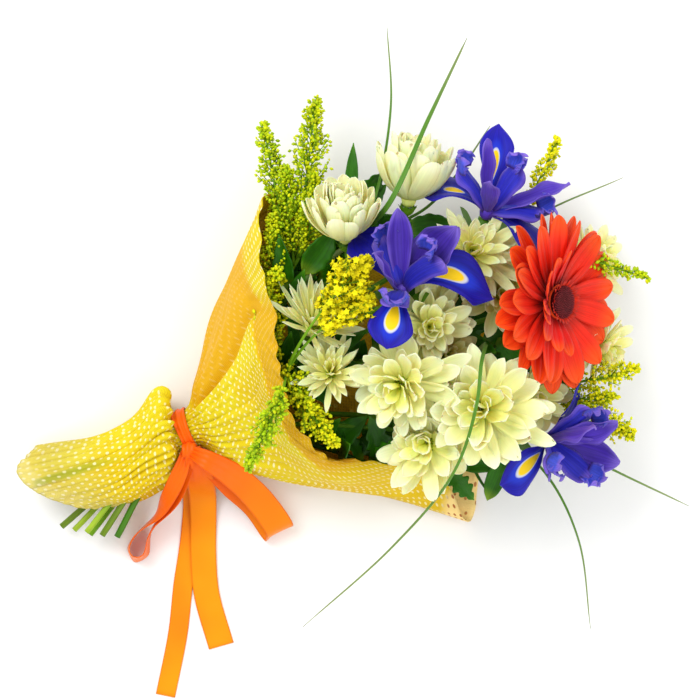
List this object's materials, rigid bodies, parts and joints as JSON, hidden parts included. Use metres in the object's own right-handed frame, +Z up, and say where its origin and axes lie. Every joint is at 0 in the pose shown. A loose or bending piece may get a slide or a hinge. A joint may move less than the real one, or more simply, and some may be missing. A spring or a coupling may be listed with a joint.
{
  "type": "mixed flower bouquet",
  "caption": "Hand-tied mixed bouquet lying on its side: gerbera, irises, spray chrysanthemums, goldenrod and grass in a dotted cloth wrap with a satin ribbon bow.",
  "frame": {"origin": "middle of the bouquet's footprint, on the surface it lies on", "axes": "+Z up from the surface; +X from the cut stem ends towards the blooms; +Y across"},
  "size_m": [0.427, 0.4252, 0.1401],
  "materials": {
    "wrap_cloth": "thin yellow open-weave cloth with small white dots",
    "ribbon_satin": "orange satin ribbon with a soft sheen",
    "gerbera_petal": "orange-red petal with fine lengthwise grooves",
    "gerbera_disc": "dark maroon florets",
    "iris_petal": "blue-violet veined petal with a yellow signal edged white on each fall",
    "chrysanthemum_petal": "cream petal, yellow-green towards the middle",
    "goldenrod": "yellow-green florets on green branchlets",
    "stem_green": "fresh green stem",
    "leaf_green": "dark green leaf with paler veins",
    "grass_green": "narrow grey-green blade"
  },
  "bodies": {
    "root": {"bear_grass_1": "grass_green", "bear_grass_2": "grass_green", "chrysanthemum_1": "chrysanthemum_petal", "chrysanthemum_10": "chrysanthemum_petal", "chrysanthemum_11": "chrysanthemum_petal", "chrysanthemum_12": "chrysanthemum_petal", "chrysanthemum_13": "chrysanthemum_petal", "chrysanthemum_14": "chrysanthemum_petal", "chrysanthemum_2": "chrysanthemum_petal", "chrysanthemum_3": "chrysanthemum_petal", "chrysanthemum_4": "chrysanthemum_petal", "chrysanthemum_5": "chrysanthemum_petal", "chrysanthemum_6": "chrysanthemum_petal", "chrysanthemum_7": "chrysanthemum_petal", "chrysanthemum_8": "chrysanthemum_petal", "chrysanthemum_9": "chrysanthemum_petal", "chrysanthemum_stem_1": "stem_green", "chrysanthemum_stem_2": "stem_green", "chrysanthemum_stem_3": "stem_green", "chrysanthemum_stem_4": "stem_green", "chrysanthemum_stem_5": "stem_green", "foliage_1": "leaf_green", "foliage_2": "leaf_green", "foliage_3": "leaf_green", "foliage_4": "leaf_green", "gerbera_disc": "gerbera_disc", "gerbera_petals": "gerbera_petal", "gerbera_stem": "stem_green", "goldenrod_1": "goldenrod", "goldenrod_2": "goldenrod", "goldenrod_3": "goldenrod", "goldenrod_4": "goldenrod", "iris_1": "iris_petal", "iris_2": "iris_petal", "iris_3": "iris_petal", "iris_stem_1": "stem_green", "iris_stem_2": "stem_green", "iris_stem_3": "stem_green", "ribbon": "ribbon_satin", "wrap": "wrap_cloth"}
  },
  "joints": []
}
